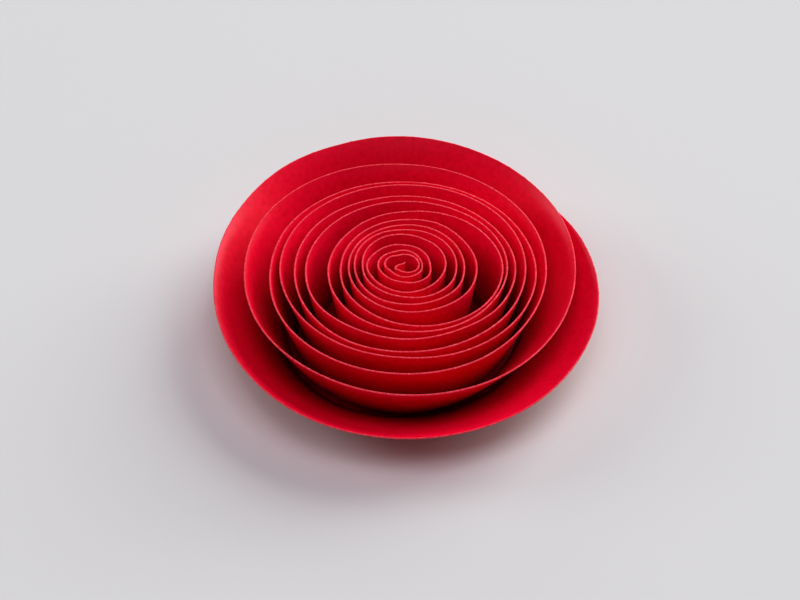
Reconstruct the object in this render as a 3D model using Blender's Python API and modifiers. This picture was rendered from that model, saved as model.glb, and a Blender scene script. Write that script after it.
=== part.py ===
# A rolled flower of red card: one strip, cut from a round sheet as a spiral, is coiled
# up on its edge, and its last end is a round tab that lies flat under the coil.
# Metres, +Z up. The origin is the middle of the tab's underside, on the flower's axis.
import math

import bmesh
import bpy
from mathutils import Vector

for old in list(bpy.data.objects):
    bpy.data.objects.remove(old, do_unlink=True)

MM = 0.001

# Card and strip
PAPER = 0.3 * MM
STRIP_WIDTH = 16.5 * MM

# Least air between one turn and the turn inside it, along the rim and along the foot
TURN_CLEARANCE = 0.15 * MM

# How far the round tab reaches past the feet that stand on it
TAB_LEDGE = 1.1 * MM
TAB_SIDES = 96

# Radius of the rim in mm, every 30 degrees counter-clockwise from +X, turn by turn: read from
# the picture, then eased by up to 0.35 mm in the outer turns to fit the leans below.
# The first row is the core's curl, from 60 to 330 degrees.
RIMS = (
    (0.5, 0.25, 0.2, 0.25, 0.5, 1.9, 1.8, 2.0, 2.4, 2.75),
    (2.8, 2.7, 2.65, 2.55, 2.65, 3.4, 3.6, 3.0, 3.0, 3.25, 3.35, 3.5),
    (3.35, 3.3, 3.5, 3.7, 3.8, 4.45, 4.85, 4.6, 4.5, 4.6, 5.2, 5.4),
    (4.85, 4.85, 4.95, 5.1, 5.65, 6.2, 6.95, 6.75, 6.8, 7.2, 7.4, 7.55),
    (7.8, 7.8, 7.6, 7.85, 8.1, 8.0, 7.75, 7.9, 8.0, 8.4, 9.35, 9.9),
    (9.8, 9.7, 9.45, 9.1, 9.3, 9.35, 9.25, 9.4, 9.8, 10.1, 10.8, 11.5),
    (11.25, 11.0, 10.8, 10.5, 10.3, 10.25, 10.35, 10.65, 11.15, 12.0, 12.85, 13.7),
    (13.55, 12.8, 12.5, 11.8, 11.6, 11.6, 11.8, 12.6, 13.55, 15.1, 16.8, 18.1),
    (18.4, 17.2, 15.6, 14.1, 13.65, 13.55, 14.05, 14.9, 15.85, 16.75, 17.9, 18.7),
    (19.3, 18.6, 17.5, 16.95, 17.0, 17.5, 18.3, 18.8, 18.4, 18.65, 19.0, 20.4),
    (20.8, 19.75, 19.0, 18.55, 18.85, 19.7, 20.35, 21.0, 21.5, 21.6, 22.0, 22.55),
    (22.7, 22.65, 22.2, 21.9, 22.35, 22.9, 23.2, 22.9, 22.75, 22.85, 23.85, 24.6),
    (24.65, 23.8, 23.1, 22.75, 23.4, 24.35, 24.95, 25.95, 26.3, 26.4, 26.55, 26.35),
    (26.6, 27.25, 27.9, 28.6, 29.75, 30.25, 29.9, 29.95, 29.9, 30.5, 30.9, 31.15),
    (32.2, 34.1, 36.0, 37.8, 38.2, 37.05, 35.85, 36.0, 36.6, 36.6, 36.7, 36.7),
    (36.6, 34.85, 36.5, 38.3, 38.8),
)
KNOT_STEP = 30
CORE_START = 60 - 360
TURNS = len(RIMS) - 2

# Lean of the wall from upright, in degrees, after so many turns from the core
LEANS = (
    (-0.84, 0),
    (0, 1),
    (1, 2),
    (4, 5),
    (6.5, 7),
    (7, 10),
    (7.5, 8),
    (8, 11),
    (8.5, 9),
    (9, 12),
    (9.5, 10),
    (10, 14),
    (10.5, 16),
    (11, 17),
    (11.4, 16),
    (11.6, 17),
    (11.9, 21),
    (12.2, 23.5),
    (12.6, 26.5),
    (12.75, 28),
    (12.9, 35),
    (13, 37),
    (13.08, 33.5),
    (13.16, 32.5),
    (13.25, 33),
    (13.35, 37),
    (13.5, 45),
    (13.6, 48.5),
    (13.75, 54),
    (13.85, 55),
    (13.92, 54),
    (14, 47),
    (14.08, 34),
    (14.3, 34),
)

# The strip's last end narrows behind the outer turn, from one angle to the other,
# to this share of its width
TAIL_START = TURNS * 360 + 15
TAIL_END = TURNS * 360 + 112
TAIL_TIP = 0.2

# Degrees from one worked-out radius to the next
TABLE_STEP = 7.5

# The rolled strip is straight between the lines across it, which lie this near to the curve
CHORD_SAG = 0.11 * MM
LARGEST_STEP = 30


def linear(pairs, place):
    """The value at a place, on straight runs between (place, value) pairs."""
    for (start, low), (end, high) in zip(pairs, pairs[1:]):
        if place <= end:
            return low + (high - low) * (place - start) / (end - start)
    return pairs[-1][1]


def smooth(values, place):
    """The value at a place, on a Catmull-Rom curve through evenly spaced values."""
    last = len(values) - 1
    index = min(int(place), last - 1)
    before, start, end, after = (values[min(max(index + k, 0), last)] for k in (-1, 0, 1, 2))
    t = place - index
    slope_in = (end - before) / 2
    slope_out = (after - start) / 2
    swing = 3 * (end - start) - 2 * slope_in - slope_out
    curl = 2 * (start - end) + slope_in + slope_out
    return start + slope_in * t + swing * t ** 2 + curl * t ** 3


def clear_of(radius, inner):
    """Moves a radius out, where it has to, so that the wall clears the turn inside it."""
    least = inner + PAPER + TURN_CLEARANCE
    softness = TURN_CLEARANCE
    return (radius + least + math.hypot(radius - least, softness)) / 2


def tail_share(angle):
    """The share of its full width that the strip has at this angle."""
    run = min(max((angle - TAIL_START) / (TAIL_END - TAIL_START), 0), 1)
    return 1 - (1 - TAIL_TIP) * run * run * (3 - 2 * run)


def table_place(angle):
    """Where an angle comes in the table of radii."""
    return (angle - CORE_START) / TABLE_STEP


def coil_table():
    """Foot and rim radius at even steps of angle, from the core's end to the tail's end."""
    knots = [radius * MM for row in RIMS for radius in row]
    a_turn = round(360 / TABLE_STEP)
    feet = []
    rims = []
    for index in range(math.ceil(table_place(TAIL_END)) + 1):
        angle = CORE_START + index * TABLE_STEP
        rim = smooth(knots, (angle - CORE_START) / KNOT_STEP)
        foot = rim - STRIP_WIDTH * math.sin(math.radians(linear(LEANS, angle / 360)))
        if index >= a_turn:
            rim = clear_of(rim, rims[index - a_turn])
            foot = clear_of(foot, feet[index - a_turn])
        rims.append(rim)
        feet.append(foot)
    return feet, rims


def station_angles(rims):
    """Angles of the lines across the strip: further apart where the turns are small."""
    angles = [CORE_START]
    while angles[-1] < TAIL_END:
        radius = smooth(rims, table_place(angles[-1]))
        step = 2 * math.degrees(math.acos(max(1 - CHORD_SAG / radius, 0)))
        angles.append(min(angles[-1] + min(step, LARGEST_STEP), TAIL_END))
    return angles


def strip_line(angle, foot, rim):
    """The strip's foot point and rim point at an angle."""
    lean = math.asin((rim - foot) / STRIP_WIDTH)
    way_out = Vector((math.cos(math.radians(angle)), math.sin(math.radians(angle)), 0))
    slant = way_out * math.sin(lean) + Vector((0, 0, math.cos(lean)))
    foot_point = way_out * foot + Vector((0, 0, PAPER / 2))
    return foot_point, foot_point + slant * STRIP_WIDTH * tail_share(angle)


def card_material():
    """Matt red card, coloured right through."""
    material = bpy.data.materials.new("red_card")
    material.use_nodes = True
    shader = material.node_tree.nodes["Principled BSDF"]
    shader.inputs["Base Color"].default_value = (0.60, 0.003, 0.022, 1)
    shader.inputs["Roughness"].default_value = 0.65
    shader.inputs["Metallic"].default_value = 0
    return material


def rolled_strip(lines, material, collection):
    """A flat grid, with a column of points for each line, is rolled up and given its thickness."""
    last = len(lines) - 1
    sheet = bmesh.new()
    bmesh.ops.create_grid(sheet, x_segments=last, y_segments=1, size=0.5)
    for point in sheet.verts:
        foot, rim = lines[round((point.co.x + 0.5) * last)]
        point.co = foot.lerp(rim, point.co.y + 0.5)
    mesh = bpy.data.meshes.new("paper_flower")
    sheet.to_mesh(mesh)
    sheet.free()
    mesh.materials.append(material)
    mesh.shade_smooth()
    flower = bpy.data.objects.new("paper_flower", mesh)
    collection.objects.link(flower)
    card = flower.modifiers.new("card", "SOLIDIFY")
    card.thickness = PAPER
    card.offset = 0
    card.use_even_offset = True
    return flower


def round_tab(radius, material, collection):
    """The flat tab under the coil, which the strip's feet stand in."""
    bpy.ops.mesh.primitive_cylinder_add(vertices=TAB_SIDES, radius=radius, depth=PAPER)
    tab = bpy.context.object
    tab.name = "tab_under_coil"
    tab.location.z = PAPER / 2
    tab.data.materials.append(material)
    for holder in tab.users_collection:
        holder.objects.unlink(tab)
    collection.objects.link(tab)
    tab.hide_render = True
    tab.display_type = "WIRE"
    return tab


def join_tab(flower, tab):
    """Strip and tab are one sheet of card, so they make one solid."""
    union = flower.modifiers.new("tab", "BOOLEAN")
    union.operation = "UNION"
    union.solver = "EXACT"
    union.object = tab


def main():
    """Builds the flower in its collection, and the shape joined to it in another."""
    flower_parts = bpy.data.collections.new("quilled_paper_flower")
    joined_shapes = bpy.data.collections.new("joined_shapes")
    for collection in (flower_parts, joined_shapes):
        bpy.context.scene.collection.children.link(collection)
    material = card_material()
    feet, rims = coil_table()
    lines = []
    for angle in station_angles(rims):
        place = table_place(angle)
        lines.append(strip_line(angle, smooth(feet, place), smooth(rims, place)))
    inner_feet = feet[:round(table_place((TURNS - 1) * 360))]
    flower = rolled_strip(lines, material, flower_parts)
    tab = round_tab(max(inner_feet) + TAB_LEDGE, material, joined_shapes)
    join_tab(flower, tab)


main()
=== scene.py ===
import math
import random

import bmesh
import bpy
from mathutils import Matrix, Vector


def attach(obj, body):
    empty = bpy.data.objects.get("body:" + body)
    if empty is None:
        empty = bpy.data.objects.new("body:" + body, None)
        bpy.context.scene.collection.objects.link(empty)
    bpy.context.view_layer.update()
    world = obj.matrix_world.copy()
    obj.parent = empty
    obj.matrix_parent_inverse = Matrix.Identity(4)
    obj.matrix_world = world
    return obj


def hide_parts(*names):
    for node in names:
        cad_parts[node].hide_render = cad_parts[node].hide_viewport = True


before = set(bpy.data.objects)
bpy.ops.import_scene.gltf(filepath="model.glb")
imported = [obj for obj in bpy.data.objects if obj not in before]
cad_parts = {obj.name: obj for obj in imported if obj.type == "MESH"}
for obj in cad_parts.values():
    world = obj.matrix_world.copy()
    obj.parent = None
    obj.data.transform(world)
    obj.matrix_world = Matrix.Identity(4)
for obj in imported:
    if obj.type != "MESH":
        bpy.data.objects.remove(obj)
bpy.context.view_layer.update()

MM = 0.001

# Card and strip, as in the CAD model
PAPER = 0.3 * MM
STRIP_WIDTH = 16.5 * MM
TURN_CLEARANCE = 0.15 * MM
TAB_LEDGE = 1.1 * MM

# Radius of the rim in mm, every 30 degrees counter-clockwise from +X, turn by turn: read from
# the picture, then eased by up to 0.35 mm in the outer turns to fit the leans below.
# The first row is the core's curl, from 60 to 330 degrees.
RIMS = (
    (0.5, 0.25, 0.2, 0.25, 0.5, 1.9, 1.8, 2.0, 2.4, 2.75),
    (2.8, 2.7, 2.65, 2.55, 2.65, 3.4, 3.6, 3.0, 3.0, 3.25, 3.35, 3.5),
    (3.35, 3.3, 3.5, 3.7, 3.8, 4.45, 4.85, 4.6, 4.5, 4.6, 5.2, 5.4),
    (4.85, 4.85, 4.95, 5.1, 5.65, 6.2, 6.95, 6.75, 6.8, 7.2, 7.4, 7.55),
    (7.8, 7.8, 7.6, 7.85, 8.1, 8.0, 7.75, 7.9, 8.0, 8.4, 9.35, 9.9),
    (9.8, 9.7, 9.45, 9.1, 9.3, 9.35, 9.25, 9.4, 9.8, 10.1, 10.8, 11.5),
    (11.25, 11.0, 10.8, 10.5, 10.3, 10.25, 10.35, 10.65, 11.15, 12.0, 12.85, 13.7),
    (13.55, 12.8, 12.5, 11.8, 11.6, 11.6, 11.8, 12.6, 13.55, 15.1, 16.8, 18.1),
    (18.4, 17.2, 15.6, 14.1, 13.65, 13.55, 14.05, 14.9, 15.85, 16.75, 17.9, 18.7),
    (19.3, 18.6, 17.5, 16.95, 17.0, 17.5, 18.3, 18.8, 18.4, 18.65, 19.0, 20.4),
    (20.8, 19.75, 19.0, 18.55, 18.85, 19.7, 20.35, 21.0, 21.5, 21.6, 22.0, 22.55),
    (22.7, 22.65, 22.2, 21.9, 22.35, 22.9, 23.2, 22.9, 22.75, 22.85, 23.85, 24.6),
    (24.65, 23.8, 23.1, 22.75, 23.4, 24.35, 24.95, 25.95, 26.3, 26.4, 26.55, 26.35),
    (26.6, 27.25, 27.9, 28.6, 29.75, 30.25, 29.9, 29.95, 29.9, 30.5, 30.9, 31.15),
    (32.2, 34.1, 36.0, 37.8, 38.2, 37.05, 35.85, 36.0, 36.6, 36.6, 36.7, 36.7),
    (36.6, 34.85, 36.5, 38.3, 38.8),
)
KNOT_STEP = 30
CORE_START = 60 - 360
TURNS = len(RIMS) - 2

# Lean of the wall from upright, in degrees, after so many turns from the core
LEANS = (
    (-0.84, 0),
    (0, 1),
    (1, 2),
    (4, 5),
    (6.5, 7),
    (7, 10),
    (7.5, 8),
    (8, 11),
    (8.5, 9),
    (9, 12),
    (9.5, 10),
    (10, 14),
    (10.5, 16),
    (11, 17),
    (11.4, 16),
    (11.6, 17),
    (11.9, 21),
    (12.2, 23.5),
    (12.6, 26.5),
    (12.75, 28),
    (12.9, 35),
    (13, 37),
    (13.08, 33.5),
    (13.16, 32.5),
    (13.25, 33),
    (13.35, 37),
    (13.5, 45),
    (13.6, 48.5),
    (13.75, 54),
    (13.85, 55),
    (13.92, 54),
    (14, 47),
    (14.08, 34),
    (14.3, 34),
)

# The strip's last end narrows behind the outer turn
TAIL_START = TURNS * 360 + 15
TAIL_END = TURNS * 360 + 112
TAIL_TIP = 0.2

# Fineness of the dressed mesh
TABLE_STEP = 2.5
STATION_LENGTH = 0.5 * MM
STATION_DEGREES = 4.0
FACE_ROWS = 6
TAB_SIDES = 192

# The cut edge, from one face of the card to the other: how far each point lies below the
# rim in mm, and its share of half the thickness
EDGE_PROFILE = ((0.07, 1.0), (0.02, 0.86), (0.0, 0.5), (0.0, -0.5), (0.02, -0.86), (0.07, -1.0))

# Scissor work along the rim: facets and small burrs, each burr by a chance share of its size
SCISSOR_SEED = 7
FACET_SHORT = 7 * MM
FACET_LONG = 15 * MM
FACET_HEIGHT = 0.10 * MM
BURR_SPACING = 5 * MM
BURR_SPACING_SHARES = (0.3, 1.7)
BURR_HEIGHT = 0.07 * MM
BURR_HEIGHT_SHARES = (0.3, 1)

# Colours of the card and the floor, linear
CARD_RED = (0.91, 0.0003, 0.033, 1)
CARD_RED_DARK = (0.76, 0.0002, 0.017, 1)
CARD_MARK = (0.90, 0.040, 0.080, 1)
# Painted shade: the dark red that the walls are painted towards their foot, deep in the coil
CARD_PAINTED_SHADE = (0.42, 0.0001, 0.004, 1)
CARD_GLOSS = (1, 0.36, 0.45, 1)
# Painted shade on the tab's top, deep between the turns, mottled darker and less dark
TAB_SHADE_DARK = (0.13, 0.0001, 0.003, 1)
TAB_SHADE_LIGHT = (0.26, 0.0001, 0.005, 1)
CUT_RED = (0.68, 0.008, 0.030, 1)
CUT_PINK = (0.94, 0.062, 0.092, 1)
CUT_PALE = (0.96, 0.36, 0.38, 1)
FLOOR_GREY = (0.648, 0.690, 0.668, 1)

# Width of the floor in metres: low views don't see past its edge
FLOOR_SIZE = 9.0

# Noise in each surface: scale, detail and roughness
MOTTLE = (900, 6, 0.65)
GRAIN = (5200, 5, 0.6)
FIBRES = (2600, 4, 0.7)
SMEARS = (350, 5, 0.6)

# Relief that the noise makes: strength and depth
GRAIN_RELIEF = (0.25, 0.02 * MM)
FIBRE_RELIEF = (0.6, 0.04 * MM)
SMEAR_RELIEF = (0.4, 0.08 * MM)

# Specular level
CARD_SHEEN = 0.45
DULL = 0.2

# Roughness: greys where a ramp mixes them, plain numbers where it is even
CARD_SMOOTH = (0.34, 0.34, 0.34, 1)
CARD_MATT = (0.44, 0.44, 0.44, 1)
GLUE_SHINE = (0.42, 0.42, 0.42, 1)
CUT_ROUGHNESS = 0.8
FLOOR_ROUGHNESS = 0.9

# Place of each material in the flower's list
CARD_FACE = 0
CUT_EDGE = 1
TAB_TOP_SHADE = 2

# Painted shade: the card is painted dark towards the foot of each wall, easing to its own red at
# this share of the strip's width
PAINTED_SHADE_UNTIL = 1.0
WAY_UP = "way_up_the_wall"

# Light: an even level all round, and lamps turned to the flower's middle
WORLD_LEVEL = 0.05
FLOWER_MIDDLE = Vector((0, 0, 0.01))
WHITE = (1, 1, 1)
ROSY = (1, 0.82, 0.96)

# Each lamp's name, azimuth and elevation in degrees, distance and size in metres, power, colour
LIGHTS = (
    ("window", 44, 32, 3.0, 2.3, 85.5, WHITE),
    ("window_low", 28, 12, 2.4, 0.8, 11.5, WHITE),
    ("window_back", 100, 15, 2.4, 1.0, 6.5, WHITE),
    ("ceiling", 300, 80, 2.2, 1.2, 14.0, ROSY),
    ("ceiling_front", 225, 68, 2.2, 1.2, 8.0, ROSY),
    ("left_back", 162, 24, 2.2, 0.8, 12.5, WHITE),
    ("front", 265, 25, 2.0, 0.9, 1.5, ROSY),
)

# Camera: lens and sensor in mm, elevation in degrees, distances in metres, and the point and
# pixel that it is aimed by
PICTURE = (800, 600)
LENS = 100
SENSOR = 36
CAMERA_ELEVATION = 47
CAMERA_DISTANCE = 0.415
NEAREST_SEEN = 0.01
CORE_RIM = Vector((0, 0, PAPER / 2 + STRIP_WIDTH))
CORE_RIM_PIXEL = (404, 264)


def linear(pairs, place):
    """The value at a place, on straight runs between (place, value) pairs."""
    for (start, low), (end, high) in zip(pairs, pairs[1:]):
        if place <= end:
            return low + (high - low) * (place - start) / (end - start)
    return pairs[-1][1]


def smooth(values, place):
    """The value at a place, on a Catmull-Rom curve through evenly spaced values."""
    last = len(values) - 1
    index = min(int(place), last - 1)
    before, start, end, after = (values[min(max(index + k, 0), last)] for k in (-1, 0, 1, 2))
    t = place - index
    slope_in = (end - before) / 2
    slope_out = (after - start) / 2
    swing = 3 * (end - start) - 2 * slope_in - slope_out
    curl = 2 * (start - end) + slope_in + slope_out
    return start + slope_in * t + swing * t ** 2 + curl * t ** 3


def clear_of(radius, inner):
    """Moves a radius out, where it has to, so that the wall clears the turn inside it."""
    least = inner + PAPER + TURN_CLEARANCE
    softness = TURN_CLEARANCE
    return (radius + least + math.hypot(radius - least, softness)) / 2


def tail_share(angle):
    """The share of its full width that the strip has at this angle."""
    run = min(max((angle - TAIL_START) / (TAIL_END - TAIL_START), 0), 1)
    return 1 - (1 - TAIL_TIP) * run * run * (3 - 2 * run)


def coil_table():
    """Foot and rim radius at even steps of angle, from the core's end to the tail's end."""
    knots = [radius * MM for row in RIMS for radius in row]
    a_turn = round(360 / TABLE_STEP)
    feet = []
    rims = []
    for index in range(round((TAIL_END - CORE_START) / TABLE_STEP) + 1):
        angle = CORE_START + index * TABLE_STEP
        rim = smooth(knots, (angle - CORE_START) / KNOT_STEP)
        foot = rim - STRIP_WIDTH * math.sin(math.radians(linear(LEANS, angle / 360)))
        if index >= a_turn:
            rim = clear_of(rim, rims[index - a_turn])
            foot = clear_of(foot, feet[index - a_turn])
        rims.append(rim)
        feet.append(foot)
    return feet, rims


def station_angles(rims):
    """Angles of the stations: even along the strip, closer together in the core."""
    angles = [CORE_START]
    while angles[-1] < TAIL_END:
        radius = smooth(rims, (angles[-1] - CORE_START) / TABLE_STEP)
        step = min(math.degrees(STATION_LENGTH / radius), STATION_DEGREES)
        angles.append(min(angles[-1] + step, TAIL_END))
    return angles


def rim_heights(angles, rims):
    """How far the scissors left the rim above or below its line, station by station."""
    chance = random.Random(SCISSOR_SEED)
    heights = []
    run = 0.0
    facet_start, facet_end = 0.0, FACET_SHORT
    low, high = 0.0, 0.0
    next_burr = BURR_SPACING
    for angle, before in zip(angles, [angles[0]] + angles):
        radius = smooth(rims, (angle - CORE_START) / TABLE_STEP)
        run += radius * math.radians(angle - before)
        if run > facet_end:
            facet_start = facet_end
            facet_end += chance.uniform(FACET_SHORT, FACET_LONG)
            low, high = high, chance.uniform(-1, 1) * FACET_HEIGHT
        height = low + (high - low) * (run - facet_start) / (facet_end - facet_start)
        if run > next_burr:
            height += BURR_HEIGHT * chance.uniform(*BURR_HEIGHT_SHARES)
            next_burr += BURR_SPACING * chance.uniform(*BURR_SPACING_SHARES)
        heights.append(height)
    return heights


def strip_stations():
    """Foot point, direction up the wall, width and rim height at each station."""
    feet, rims = coil_table()
    angles = station_angles(rims)
    stations = []
    for angle, height in zip(angles, rim_heights(angles, rims)):
        place = (angle - CORE_START) / TABLE_STEP
        rim = smooth(rims, place)
        foot = smooth(feet, place)
        lean = math.asin((rim - foot) / STRIP_WIDTH)
        out = Vector((math.cos(math.radians(angle)), math.sin(math.radians(angle)), 0))
        up_wall = out * math.sin(lean) + Vector((0, 0, math.cos(lean)))
        width = STRIP_WIDTH * tail_share(angle) + height
        stations.append((out * foot + Vector((0, 0, PAPER / 2)), up_wall, width))
    return stations, max(feet[:round(((TURNS - 1) * 360 - CORE_START) / TABLE_STEP)])


def strip_section(width):
    """The card's section at one station: (way up the wall, share of half the thickness)."""
    rows = [width * row / FACE_ROWS for row in range(FACE_ROWS)]
    edge = [(width - below * MM, side) for below, side in EDGE_PROFILE]
    return [(way, 1.0) for way in rows] + edge + [(way, -1.0) for way in reversed(rows)]


def strip_mesh(bm, stations):
    """One closed skin round the rolled strip, with its cut edges in their own material."""
    way_up = bm.verts.layers.float.new(WAY_UP)
    rings = []
    for index, (foot, up_wall, width) in enumerate(stations):
        ahead = stations[min(index + 1, len(stations) - 1)][0]
        behind = stations[max(index - 1, 0)][0]
        outward = (ahead - behind).cross(up_wall).normalized()
        ring = []
        for way, side in strip_section(width):
            point = bm.verts.new(foot + up_wall * way + outward * (side * PAPER / 2))
            point[way_up] = way / STRIP_WIDTH
            ring.append(point)
        rings.append(ring)
    sides = len(rings[0])
    edge_places = range(FACE_ROWS, FACE_ROWS + len(EDGE_PROFILE) - 1)
    for ring, following in zip(rings, rings[1:]):
        for k in range(sides):
            m = (k + 1) % sides
            face = bm.faces.new((ring[k], following[k], following[m], ring[m]))
            face.material_index = CUT_EDGE if k in edge_places or m == 0 else CARD_FACE
            face.smooth = True
    for ring in (list(reversed(rings[0])), rings[-1]):
        cap = bm.faces.new(ring)
        cap.material_index = CUT_EDGE


def tab_mesh(bm, radius):
    """The round tab under the coil, with its cut edge and its top, painted dark as shade, in their
    own materials.
    """
    made = bmesh.ops.create_cone(bm, cap_ends=True, segments=TAB_SIDES, radius1=radius,
                                 radius2=radius, depth=PAPER)
    way_up = bm.verts.layers.float[WAY_UP]
    for point in made["verts"]:
        point.co.z += PAPER / 2
        point[way_up] = 1.0
    for face in {face for point in made["verts"] for face in point.link_faces}:
        if len(face.verts) == 4:
            face.material_index = CUT_EDGE
        elif face.calc_center_median().z > PAPER / 2:
            face.material_index = TAB_TOP_SHADE


def noise_node(tree, scale, detail, roughness):
    """A noise texture in the object's own space."""
    place = tree.nodes.new("ShaderNodeTexCoord")
    made = tree.nodes.new("ShaderNodeTexNoise")
    made.inputs["Scale"].default_value = scale
    made.inputs["Detail"].default_value = detail
    made.inputs["Roughness"].default_value = roughness
    tree.links.new(place.outputs["Object"], made.inputs["Vector"])
    return made


def ramp_node(tree, source, stops):
    """A colour ramp fed by a value."""
    ramp = tree.nodes.new("ShaderNodeValToRGB")
    tree.links.new(source, ramp.inputs["Fac"])
    elements = ramp.color_ramp.elements
    while len(elements) < len(stops):
        elements.new(0.5)
    for element, (position, colour) in zip(elements, stops):
        element.position = position
        element.color = colour
    return ramp


def plain_material(name, specular):
    """A new material that is no metal, with its node tree and shader."""
    material = bpy.data.materials.new(name)
    material.use_nodes = True
    shader = material.node_tree.nodes["Principled BSDF"]
    shader.inputs["Metallic"].default_value = 0
    shader.inputs["Specular IOR Level"].default_value = specular
    return material, material.node_tree, shader


def bump_node(tree, shader, height, strength, distance):
    """Small relief from a value, this deep."""
    bump = tree.nodes.new("ShaderNodeBump")
    bump.inputs["Strength"].default_value = strength
    bump.inputs["Distance"].default_value = distance
    tree.links.new(height, bump.inputs["Height"])
    tree.links.new(bump.outputs["Normal"], shader.inputs["Normal"])


def card_material():
    """Matt red card: faint mottling, fine fibre grain, a soft sheen, and painted shade that
    darkens it towards the foot.
    """
    material, tree, shader = plain_material("red_card_face", CARD_SHEEN)
    shader.inputs["Specular Tint"].default_value = CARD_GLOSS
    cloud = noise_node(tree, *MOTTLE)
    stops = ((0.3, CARD_RED_DARK), (0.6, CARD_RED), (0.72, CARD_RED), (0.78, CARD_MARK))
    colour = ramp_node(tree, cloud.outputs["Fac"], stops)
    # Painted shade: the card's colour is mixed towards dark red down each wall, by its way up from
    # the foot
    wall = tree.nodes.new("ShaderNodeAttribute")
    wall.attribute_name = WAY_UP
    depth = tree.nodes.new("ShaderNodeMapRange")
    depth.interpolation_type = "SMOOTHSTEP"
    depth.inputs["From Max"].default_value = PAINTED_SHADE_UNTIL
    tree.links.new(wall.outputs["Fac"], depth.inputs["Value"])
    shade_mix = tree.nodes.new("ShaderNodeMix")
    shade_mix.data_type = "RGBA"
    shade_mix.inputs["A"].default_value = CARD_PAINTED_SHADE
    tree.links.new(depth.outputs["Result"], shade_mix.inputs["Factor"])
    tree.links.new(colour.outputs["Color"], shade_mix.inputs["B"])
    tree.links.new(shade_mix.outputs["Result"], shader.inputs["Base Color"])
    rough = ramp_node(tree, cloud.outputs["Fac"], ((0.3, CARD_SMOOTH), (0.7, CARD_MATT)))
    tree.links.new(rough.outputs["Color"], shader.inputs["Roughness"])
    grain = noise_node(tree, *GRAIN)
    bump_node(tree, shader, grain.outputs["Fac"], *GRAIN_RELIEF)
    return material


def cut_edge_material():
    """The cut edge of the card: paler, rough and full of fibre ends."""
    material, tree, shader = plain_material("red_card_cut_edge", DULL)
    shader.inputs["Roughness"].default_value = CUT_ROUGHNESS
    fibres = noise_node(tree, *FIBRES)
    stops = ((0.38, CUT_RED), (0.54, CUT_PINK), (0.63, CUT_PINK), (0.70, CUT_PALE))
    colour = ramp_node(tree, fibres.outputs["Fac"], stops)
    tree.links.new(colour.outputs["Color"], shader.inputs["Base Color"])
    bump_node(tree, shader, fibres.outputs["Fac"], *FIBRE_RELIEF)
    return material


def tab_shade_material():
    """The tab's top, painted dark red as shade where it lies deep in the coil, with smears of
    shinier glue.
    """
    material, tree, shader = plain_material("red_card_tab_shade", DULL)
    shader.inputs["Specular Tint"].default_value = CARD_GLOSS
    smears = noise_node(tree, *SMEARS)
    colour = ramp_node(tree, smears.outputs["Fac"], ((0.35, TAB_SHADE_DARK), (0.75, TAB_SHADE_LIGHT)))
    tree.links.new(colour.outputs["Color"], shader.inputs["Base Color"])
    rough = ramp_node(tree, smears.outputs["Fac"], ((0.35, GLUE_SHINE), (0.7, CARD_MATT)))
    tree.links.new(rough.outputs["Color"], shader.inputs["Roughness"])
    bump_node(tree, shader, smears.outputs["Fac"], *SMEAR_RELIEF)
    return material


def make_flower():
    """The rolled strip and its tab, dressed, in place of the CAD node."""
    stations, widest_foot = strip_stations()
    bm = bmesh.new()
    strip_mesh(bm, stations)
    tab_mesh(bm, widest_foot + TAB_LEDGE)
    bmesh.ops.recalc_face_normals(bm, faces=bm.faces)
    mesh = bpy.data.meshes.new("card_flower")
    bm.to_mesh(mesh)
    bm.free()
    mesh.materials.append(card_material())
    mesh.materials.append(cut_edge_material())
    mesh.materials.append(tab_shade_material())
    flower = bpy.data.objects.new("card_flower", mesh)
    bpy.context.scene.collection.objects.link(flower)
    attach(flower, "root")
    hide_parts("paper_flower")


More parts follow.
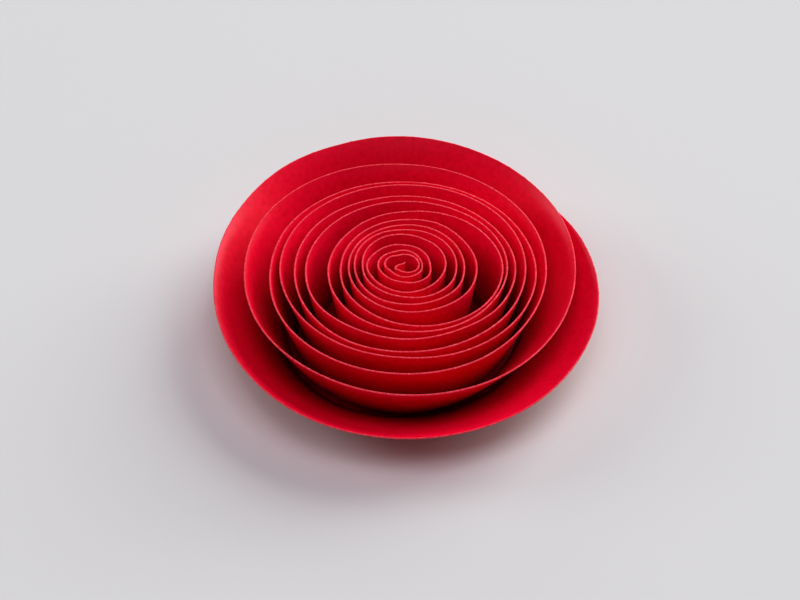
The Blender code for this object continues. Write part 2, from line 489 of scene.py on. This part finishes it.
def make_floor():
    """A plain pale table top."""
    bpy.ops.mesh.primitive_plane_add(size=FLOOR_SIZE)
    floor = bpy.context.object
    floor.name = "floor"
    material, _, shader = plain_material("pale_floor", DULL)
    shader.inputs["Base Color"].default_value = FLOOR_GREY
    shader.inputs["Roughness"].default_value = FLOOR_ROUGHNESS
    floor.data.materials.append(material)


def area_light(name, azimuth, elevation, distance, size, power, colour):
    """A square soft light, turned to the flower from this side and height."""
    light = bpy.data.lights.new(name, "AREA")
    light.size = size
    light.energy = power
    light.color = colour
    lamp = bpy.data.objects.new(name, light)
    side = math.radians(azimuth)
    height = math.radians(elevation)
    level = math.cos(height)
    way = Vector((level * math.cos(side), level * math.sin(side), math.sin(height)))
    lamp.location = FLOWER_MIDDLE + way * distance
    lamp.rotation_euler = (-way).to_track_quat("-Z", "Y").to_euler()
    bpy.context.scene.collection.objects.link(lamp)


def make_lights():
    """Daylight from a window at the right and behind, with soft fills round it."""
    world = bpy.data.worlds.new("studio")
    bpy.context.scene.world = world
    world.use_nodes = True
    world.node_tree.nodes["Background"].inputs["Color"].default_value = (1, 1, 1, 1)
    world.node_tree.nodes["Background"].inputs["Strength"].default_value = WORLD_LEVEL
    for lamp in LIGHTS:
        area_light(*lamp)


def make_camera():
    """The photograph's camera, set so that the core's rim falls on its pixel."""
    elevation = math.radians(CAMERA_ELEVATION)
    forward = Vector((0, math.cos(elevation), -math.sin(elevation)))
    upward = Vector((0, math.sin(elevation), math.cos(elevation)))
    pixels = PICTURE[0] * LENS / SENSOR
    right_share = (CORE_RIM_PIXEL[0] - PICTURE[0] / 2) / pixels
    up_share = (PICTURE[1] / 2 - CORE_RIM_PIXEL[1]) / pixels
    ray = forward + Vector((right_share, 0, 0)) + upward * up_share
    data = bpy.data.cameras.new("camera")
    data.lens = LENS
    data.sensor_width = SENSOR
    data.sensor_fit = "HORIZONTAL"
    data.clip_start = NEAREST_SEEN
    camera = bpy.data.objects.new("camera", data)
    camera.location = CORE_RIM - ray * CAMERA_DISTANCE
    camera.rotation_euler = (math.radians(90 - CAMERA_ELEVATION), 0, 0)
    bpy.context.scene.collection.objects.link(camera)
    bpy.context.scene.camera = camera


bpy.context.scene.view_settings.view_transform = "Standard"
make_camera()
make_flower()
make_floor()
make_lights()
